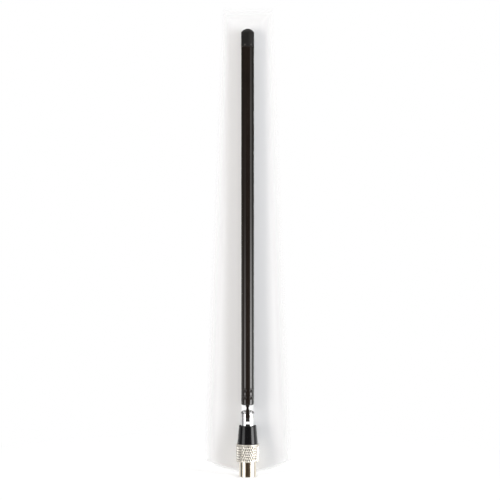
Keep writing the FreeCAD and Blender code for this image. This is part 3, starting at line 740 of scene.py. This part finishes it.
def sliding_tube(foot, radius):
    """Closed outline: flare and neck at the foot, plain wall, rolled lip, and back down the bore."""
    bore = radius - tube_wall
    neck = radius - neck_depth
    return rounded([
        (neck - tube_wall, foot, 0.04),
        (neck + flare, foot, 0.04),
        (neck + flare, foot + flare_height, 0.04),
        (neck, foot + flare_height, 0.03),
        (neck, foot + neck_top, 0.03),
        (radius, foot + neck_top, 0.05),
        *wall_steps(radius, foot + plain_step, plain_high, plain_step),
        (radius, mast_high, 0.25),
        (bore - lip_inset, mast_high, 0.04),
        (bore - lip_inset, mast_high - lip_thick, 0.04),
        (bore, mast_high - lip_thick, 0.04),
        *wall_steps(bore, plain_high, foot + plain_step, plain_step),
        (bore, foot + neck_top + tube_wall, 0.04),
        (neck - tube_wall, foot + neck_top + tube_wall, 0.03),
    ])


for name in ("second", "third", "fourth", "fifth", "sixth"):
    tube_radius = outer_bore - tube_gap
    outline = sliding_tube(foot_height, tube_radius)
    add_piece(name + "_tube_drawn", [(revolved(outline, 80), True)], tube_lacquer, name + "_section",
              "black_lacquer", name + "_tube")
    cad_finish(drawn_bronze, name + "_contact")
    outer_bore = tube_radius - tube_wall
    foot_height += foot_step

# Tip rod: the last section, solid brass wire 1.6 mm thick with the same black lacquer, necked at its
# foot for the last contact sleeve, with its top riveted into the bush inside the cap.

rod_radius = outer_bore - tube_gap
rod_neck = rod_radius - neck_depth
rod_high = mast_high + 4.5
rod = rounded([
    (0, foot_height, 0),
    (rod_neck + flare, foot_height, 0.06),
    (rod_neck + flare, foot_height + flare_height, 0.04),
    (rod_neck, foot_height + flare_height, 0.04),
    (rod_neck, foot_height + neck_top, 0.03),
    (rod_radius, foot_height + neck_top, 0.05),
    *wall_steps(rod_radius, foot_height + plain_step, plain_high + plain_step, plain_step),
    (rod_radius, rod_high, 0.1),
    (0, rod_high, 0),
], closed=False)
add_piece("tip_rod_drawn", [(revolved(rod, 48), False)], tube_lacquer, "tip_section", "black_lacquer",
          "tip_rod")
cad_finish(drawn_bronze, "rod_contact")

# Tip cap: drawn brass with a domed end, crimped to its bush by one ring of dimples and finished in a duller
# black lacquer than the tubes. The dimples are smoother, and a lighter grey is painted in them as a painted
# glint.

cap_low = 238.3
cap_high = 248.35
cap_radius = 3.55
cap_bore = 3.2
cap_dome = 2.1
dome_low = 245.6
dimpled_high = 241.0
dimple_height = 239.15
dimple_width = 0.4
dimple_depth = 0.34
dimple_edge = cap_radius - 0.03
dimple_floor = cap_radius - 0.15
ring_high = cap_low + 2.5
cap_wall = 0.35


def dome_points(radius, rise, top, count):
    """Circular arc from the axis at top down to this radius, rise lower."""
    ball = (radius ** 2 + rise ** 2) / (2 * rise)
    turn = np.linspace(0, np.arcsin(radius / ball), count)
    return np.stack((ball * np.sin(turn), top - ball * (1 - np.cos(turn))), axis=-1)


cap_lacquer = lacquer("satin_black_lacquer_on_cap", "#100E0D", "#151312", 0.5, 0.6, 0.45, 0.006)
tree = cap_lacquer.node_tree
shader = tree.nodes["Principled BSDF"]
place = add_node(tree, "TexCoord").outputs["Object"]
level = add_node(tree, "VectorMath", {"operation": "MULTIPLY", 1: (1, 1, 0)}, {0: place})
from_axis = add_node(tree, "VectorMath", {"operation": "LENGTH"}, {0: level.outputs["Vector"]})
sunk = add_node(tree, "MapRange", {"From Min": dimple_edge * MM, "From Max": dimple_floor * MM},
                {"Value": from_axis.outputs["Value"]})
height = add_node(tree, "SeparateXYZ", None, {0: place})
in_ring = add_node(tree, "Math", {"operation": "LESS_THAN", 1: ring_high * MM}, {0: height.outputs["Z"]})
burnish_and_glint_mask = add_node(tree, "Math", {"operation": "MULTIPLY"}, {0: sunk.outputs[0], 1: in_ring.outputs[0]})
shader.inputs["Specular IOR Level"].default_value = 0.3
grain = shader.inputs["Roughness"].links[0].from_socket
smoothed = add_node(tree, "Mix", {3: 0.1}, {0: burnish_and_glint_mask.outputs[0], 2: grain})
tree.links.new(smoothed.outputs[0], shader.inputs["Roughness"])
# The dimples get a lower roughness, and a lighter grey base colour that is a painted glint.
black = shader.inputs["Base Color"].links[0].from_socket
painted_glint_colour = add_node(tree, "Mix", {"data_type": "RGBA", 7: linear("#5E5A56")},
                  {0: burnish_and_glint_mask.outputs[0], 6: black})
tree.links.new(painted_glint_colour.outputs[2], shader.inputs["Base Color"])
outer_dome = dome_points(cap_radius, cap_dome, cap_high, 15)[::-1]
inner_dome = dome_points(cap_bore, cap_dome - cap_wall, cap_high - cap_wall, 12)
skirt = rounded([
    (cap_bore, dome_low, 0),
    *wall_steps(cap_bore, dimpled_high, cap_low + 0.2, 0.1),
    (cap_bore, cap_low, 0.08),
    (cap_radius, cap_low, 0.12),
    *wall_steps(cap_radius, cap_low + 0.25, dimpled_high, 0.1),
    (cap_radius, dome_low, 0),
], closed=False)
cap = np.concatenate((inner_dome, skirt, outer_dome))
cap = press(revolved(cap, 120), (dimple_height,), dimple_width, dimple_depth)
add_piece("tip_cap_dimpled", [(cap, False)], cap_lacquer, "tip_section", "black_cap_lacquer", "tip_cap")

# Camera: straight at the antenna's side from 0.82 m, as the photograph sees it, with its centre a little
# right of the axis.

camera_side = 1.33
camera_height = 125.55
camera_away = 820.0
field_width = 277.5
lens_data = bpy.data.cameras.new("camera")
lens_data.sensor_width = 36
lens_data.lens = lens_data.sensor_width * camera_away / field_width
lens_data.clip_start = 0.01
lens_data.clip_end = 20
camera = bpy.data.objects.new("camera", lens_data)
bpy.context.scene.collection.objects.link(camera)
camera.location = (camera_side * MM, -camera_away * MM, camera_height * MM)
camera.rotation_euler = (np.radians(90), 0, 0)
bpy.context.scene.camera = camera

# Floor: a plain pale sheet under the plug. It takes the object's shadow and turns plain white further
# out. What the metal mirrors is left to the studio walls.


def new_stage(name, corners, material):
    """Flat four-cornered sheet of the studio, corners in millimetres."""
    mesh = bpy.data.meshes.new(name)
    mesh.from_pydata((np.array(corners, float) * MM).tolist(), [], [(0, 1, 2, 3)])
    mesh.materials.append(material)
    sheet = bpy.data.objects.new(name, mesh)
    bpy.context.scene.collection.objects.link(sheet)
    sheet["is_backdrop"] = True
    return sheet


def in_plain_view(tree):
    """1 for what is seen straight, in a mirror or through glass, and 0 for what only lights the object."""
    path = add_node(tree, "LightPath")
    seen = add_node(tree, "Math", {"operation": "MAXIMUM"},
                    {0: path.outputs["Is Camera Ray"], 1: path.outputs["Is Glossy Ray"]})
    seen = add_node(tree, "Math", {"operation": "MAXIMUM"},
                    {0: seen.outputs[0], 1: path.outputs["Is Transmission Ray"]})
    return seen.outputs[0]


paper, tree, shader, place = new_finish("pale_paper", Roughness=0.9)
shader.inputs["Base Color"].default_value = linear("#F4F4F4")
distance = add_node(tree, "VectorMath", {"operation": "LENGTH"}, {0: place})
far = add_node(tree, "MapRange", {"interpolation_type": "SMOOTHSTEP", "From Min": 0.04, "From Max": 0.2},
               {"Value": distance.outputs["Value"]})
share = add_node(tree, "Math", {"operation": "MULTIPLY"}, {0: in_plain_view(tree), 1: far.outputs[0]})
white = add_node(tree, "Emission", {"Color": (1, 1, 1, 1), "Strength": 1.0})
blended = add_node(tree, "MixShader", None, {0: share.outputs[0], 1: shader.outputs[0], 2: white.outputs[0]})
tree.links.new(blended.outputs[0], tree.nodes["Material Output"].inputs["Surface"])
floor_size = 3000
floor = new_stage("floor", [(-floor_size, -floor_size, 0), (floor_size, -floor_size, 0),
                            (floor_size, floor_size, 0), (-floor_size, floor_size, 0)], paper)
floor.visible_glossy = False
floor.visible_diffuse = False

# Back sheet: a narrow pale sheet just behind the antenna, on which it lies in the photograph. Its edges
# fade out, the lower one along a curve, it has a slot behind the mast, and it is clear from behind and to
# the lamps.

sheet_material = bpy.data.materials.new("pale_back_sheet")
sheet_material.use_nodes = True
tree = sheet_material.node_tree
tree.nodes.remove(tree.nodes["Principled BSDF"])
matt = add_node(tree, "BsdfDiffuse", {"Color": linear("#F4F4F4")})
clear = add_node(tree, "BsdfTransparent")
place = add_node(tree, "SeparateXYZ", None, {0: add_node(tree, "TexCoord").outputs["Object"]})
narrowing = 0.04
lower_curve = -12.0
sideways = add_node(tree, "Math", {"operation": "ABSOLUTE"}, {0: place.outputs["X"]})
squared = add_node(tree, "Math", {"operation": "MULTIPLY"}, {0: sideways.outputs[0], 1: sideways.outputs[0]})
inwards = add_node(tree, "Math", {"operation": "MULTIPLY_ADD", 1: narrowing},
                   {0: place.outputs["Z"], 2: sideways.outputs[0]})
curved = add_node(tree, "Math", {"operation": "MULTIPLY_ADD", 1: lower_curve},
                  {0: squared.outputs[0], 2: place.outputs["Z"]})
fades = []
for source, clear_from, clear_at in (
        (inwards.outputs[0], 18, 26), (place.outputs["Z"], 252, 262), (curved.outputs[0], 3.5, 0.5)):
    fades.append(add_node(tree, "MapRange", {
        "interpolation_type": "SMOOTHSTEP", "From Min": clear_from * MM, "From Max": clear_at * MM},
        {"Value": source}))
faded = add_node(tree, "Math", {"operation": "MAXIMUM"}, {0: fades[0].outputs[0], 1: fades[1].outputs[0]})
faded = add_node(tree, "Math", {"operation": "MAXIMUM"}, {0: faded.outputs[0], 1: fades[2].outputs[0]})
behind = add_node(tree, "NewGeometry")
path = add_node(tree, "LightPath")
one_sided = add_node(tree, "Math", {"operation": "MAXIMUM"},
                     {0: behind.outputs["Backfacing"], 1: path.outputs["Is Shadow Ray"]})
see_through = add_node(tree, "Math", {"operation": "MAXIMUM"}, {0: faded.outputs[0], 1: one_sided.outputs[0]})
mixed = add_node(tree, "MixShader", None,
                 {0: see_through.outputs[0], 1: matt.outputs[0], 2: clear.outputs[0]})
tree.links.new(mixed.outputs[0], tree.nodes["Material Output"].inputs["Surface"])
sheet_half = 27
sheet_high = 265
slot_half = 3.3
slot_low = 24
slot_high = 236
foot_behind = 6.3
top_behind = 4.6
lean = (top_behind - foot_behind) / sheet_high
for name, left, right, low, high in (
        ("back_sheet_low", -sheet_half, sheet_half, 0, slot_low),
        ("back_sheet_left", -sheet_half, -slot_half, slot_low, sheet_high),
        ("back_sheet_right", slot_half, sheet_half, slot_low, sheet_high),
        ("back_sheet_top", -slot_half, slot_half, slot_high, sheet_high)):
    low_y = foot_behind + lean * low
    high_y = foot_behind + lean * high
    back = new_stage(name, [(left, low_y, low), (right, low_y, low), (right, high_y, high),
                            (left, high_y, high)], sheet_material)
    back.visible_glossy = False

# Studio walls: what the metal and the lacquer mirror. Two tall soft panels stand left and right of the
# camera, brighter low down, with a warm dark between them, grey walls behind and a plain room above and
# below. Levels are given by angle in degrees, 0 towards the camera, and by height in metres.

wall_radius = 0.75
wall_low = -0.9
wall_high = 1.3
panel_light = 11.9
turns = np.linspace(0, 2 * np.pi, 73)[:-1]
ring = np.stack((wall_radius * np.sin(turns), -wall_radius * np.cos(turns)), axis=-1)
studio_mesh = bpy.data.meshes.new("studio_walls")
columns = turns.size
lower = np.arange(columns)
studio_mesh.from_pydata(
    np.concatenate((np.column_stack((ring, np.full(columns, wall_low))),
                    np.column_stack((ring, np.full(columns, wall_high))))).tolist(), [],
    np.stack((lower, np.roll(lower, -1), np.roll(lower, -1) + columns, lower + columns), axis=-1).tolist())
walls = bpy.data.materials.new("studio_panels")
walls.use_nodes = True
tree = walls.node_tree
tree.nodes.remove(tree.nodes["Principled BSDF"])
place = add_node(tree, "SeparateXYZ", None, {0: add_node(tree, "TexCoord").outputs["Object"]})
around = add_node(tree, "MapRange", {"From Min": -np.pi, "From Max": np.pi},
                  {"Value": turn_about_axis(tree, place)})


def ramp(tree, source, stops):
    """Colour ramp through (position, grey level) stops."""
    made = add_node(tree, "ValToRGB", None, {0: source})
    elements = made.color_ramp.elements
    while len(elements) < len(stops):
        elements.new(0.5)
    for element, (position, _) in zip(elements, stops):
        element.position = position
    for element, (_, level) in zip(elements, stops):
        element.color = (level, level, level, 1)
    return made.outputs[0]


by_angle = [
    (-180, 0.004), (-160, 0.01), (-150, 0.11), (-125, 0.08), (-108, 0.063), (-98, 0.042),
    (-90, 0.02), (-84, 0.008), (-74, 0.01), (-69, 0.12), (-64, 0.44), (-52, 0.475),
    (-38, 0.47), (-33.5, 0.12), (-30, 0.025), (-20, 0.01), (8, 0.008), (26, 0.02),
    (38, 0.03), (45.5, 0.05), (49.5, 0.92), (77, 0.92), (83, 0.15), (90, 0.10),
    (101, 0.097), (110, 0.11), (128, 0.13), (150, 0.13), (160, 0.01), (180, 0.004)]
by_height = [(wall_low, 0.75), (-0.5, 0.85), (-0.1, 0.82), (0.015, 0.72), (0.07, 0.52),
             (0.17, 0.215), (0.34, 0.067), (wall_high, 0.067)]
angle_light = ramp(tree, around.outputs[0], [((angle + 180) / 360, level) for angle, level in by_angle])
up_share = add_node(tree, "MapRange", {"From Min": wall_low, "From Max": wall_high},
                    {"Value": place.outputs["Z"]})
height_light = ramp(tree, up_share.outputs[0],
                    [((height - wall_low) / (wall_high - wall_low), level) for height, level in by_height])
left_power = 1.7
steeper = add_node(tree, "MapRange", {"From Min": 0.45, "From Max": 0.55, "To Min": left_power,
                                      "To Max": 1.0}, {"Value": around.outputs[0]})
far_left = add_node(tree, "MapRange", {"From Min": 0.26, "From Max": 0.24, "To Max": left_power - 1.0},
                    {"Value": around.outputs[0]})
steeper = add_node(tree, "Math", {"operation": "SUBTRACT"}, {0: steeper.outputs[0], 1: far_left.outputs[0]})
falling = add_node(tree, "Math", {"operation": "POWER"}, {0: height_light, 1: steeper.outputs[0]})
panels = add_node(tree, "Math", {"operation": "MULTIPLY"}, {0: angle_light, 1: falling.outputs[0]})
middle_height = 0.05
off_level = add_node(tree, "Math", {"operation": "SUBTRACT", 1: middle_height}, {0: place.outputs["Z"]})
off_level = add_node(tree, "Math", {"operation": "ABSOLUTE"}, {0: off_level.outputs[0]})
outside = add_node(tree, "MapRange", {"From Min": 0.38, "From Max": 0.55}, {"Value": off_level.outputs[0]})
room_level = 0.0875
beyond = add_node(tree, "Math", {"operation": "MULTIPLY", 1: room_level}, {0: outside.outputs[0]})
level = add_node(tree, "Math", {"operation": "MAXIMUM"}, {0: panels.outputs[0], 1: beyond.outputs[0]})
off_front = add_node(tree, "Math", {"operation": "SUBTRACT", 1: 0.5}, {0: around.outputs[0]})
off_front = add_node(tree, "Math", {"operation": "ABSOLUTE"}, {0: off_front.outputs[0]})
low_down = add_node(tree, "MapRange", {"From Min": -0.02, "From Max": -0.08}, {"Value": place.outputs["Z"]})
far_side = add_node(tree, "MapRange", {"From Min": 85 / 360, "From Max": 125 / 360, "To Max": 0.1},
                    {"Value": off_front.outputs[0]})
far_glow = add_node(tree, "Math", {"operation": "MULTIPLY"}, {0: low_down.outputs[0], 1: far_side.outputs[0]})
level = add_node(tree, "Math", {"operation": "MAXIMUM"}, {0: level.outputs[0], 1: far_glow.outputs[0]})
strength = add_node(tree, "Math", {"operation": "MULTIPLY", 1: panel_light}, {0: level.outputs[0]})
white_share = add_node(tree, "MapRange", {"From Min": 0.05, "From Max": 0.1}, {"Value": off_front.outputs[0]})
white_share = add_node(tree, "Math", {"operation": "MAXIMUM"},
                       {0: white_share.outputs[0], 1: outside.outputs[0]})
room_tint = add_node(tree, "Mix", {"data_type": "RGBA", 6: (1.0, 0.74, 0.52, 1), 7: (1.0, 1.0, 1.0, 1)},
                     {0: white_share.outputs[0]})
glow = add_node(tree, "Emission", None, {"Color": room_tint.outputs[2], "Strength": strength.outputs[0]})
tree.links.new(glow.outputs[0], tree.nodes["Material Output"].inputs["Surface"])
studio_mesh.materials.append(walls)
studio = bpy.data.objects.new("studio_walls", studio_mesh)
bpy.context.scene.collection.objects.link(studio)
studio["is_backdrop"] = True
studio.visible_camera = False
studio.visible_diffuse = False
studio.visible_shadow = False
studio.visible_transmission = False

# Lamps: soft boxes left, right and in front, two weaker ones behind for the far side, and a broad one
# overhead for the floor. They light and cast shadows, and the walls' panels are their mirror images.

lamp_away = 0.7


def soft_box(name, angle, height, width, tall, watts, colour):
    """Rectangular lamp at this angle round the axis, 0 towards the camera, turned to the object."""
    data = bpy.data.lights.new(name, "AREA")
    data.shape = "RECTANGLE"
    data.size = width
    data.size_y = tall
    data.energy = watts
    data.color = linear(colour)[:3]
    lamp = bpy.data.objects.new(name, data)
    bpy.context.scene.collection.objects.link(lamp)
    turn = np.radians(angle)
    lamp.location = (lamp_away * np.sin(turn), -lamp_away * np.cos(turn), height)
    lamp.rotation_euler = (np.radians(90), 0, turn)
    lamp.visible_glossy = False
    lamp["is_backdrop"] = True
    return lamp


soft_box("lamp_left", -48.5, 0.12, 0.17, 0.5, 2.53, "#FFF8F2")
soft_box("lamp_right", 51.5, 0.12, 0.17, 0.5, 2.53, "#F6F9FF")
soft_box("lamp_front", 0, 0.12, 0.1, 0.5, 2.22, "#FFFFFF")
soft_box("lamp_back_left", -130, 0.2, 0.3, 0.5, 1.6, "#FFFFFF")
soft_box("lamp_back_right", 130, 0.2, 0.3, 0.5, 1.6, "#FFFFFF")
overhead = soft_box("lamp_overhead", 0, 1.2, 0.8, 0.8, 11.0, "#FFFFFF")
overhead.location = (0, 0, 1.2)
overhead.rotation_euler = (0, 0, 0)

# World: plain white to the camera and in reflections, and a dimmer white that fills the shadows.

world = bpy.data.worlds.new("studio")
bpy.context.scene.world = world
world.use_nodes = True
tree = world.node_tree
strength = add_node(tree, "MapRange", {"To Min": 0.18, "To Max": 1.0}, {"Value": in_plain_view(tree)})
backdrop = tree.nodes["Background"]
backdrop.inputs["Color"].default_value = (1, 1, 1, 1)
tree.links.new(strength.outputs[0], backdrop.inputs["Strength"])

bpy.context.scene.view_settings.view_transform = "Standard"

low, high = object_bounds()
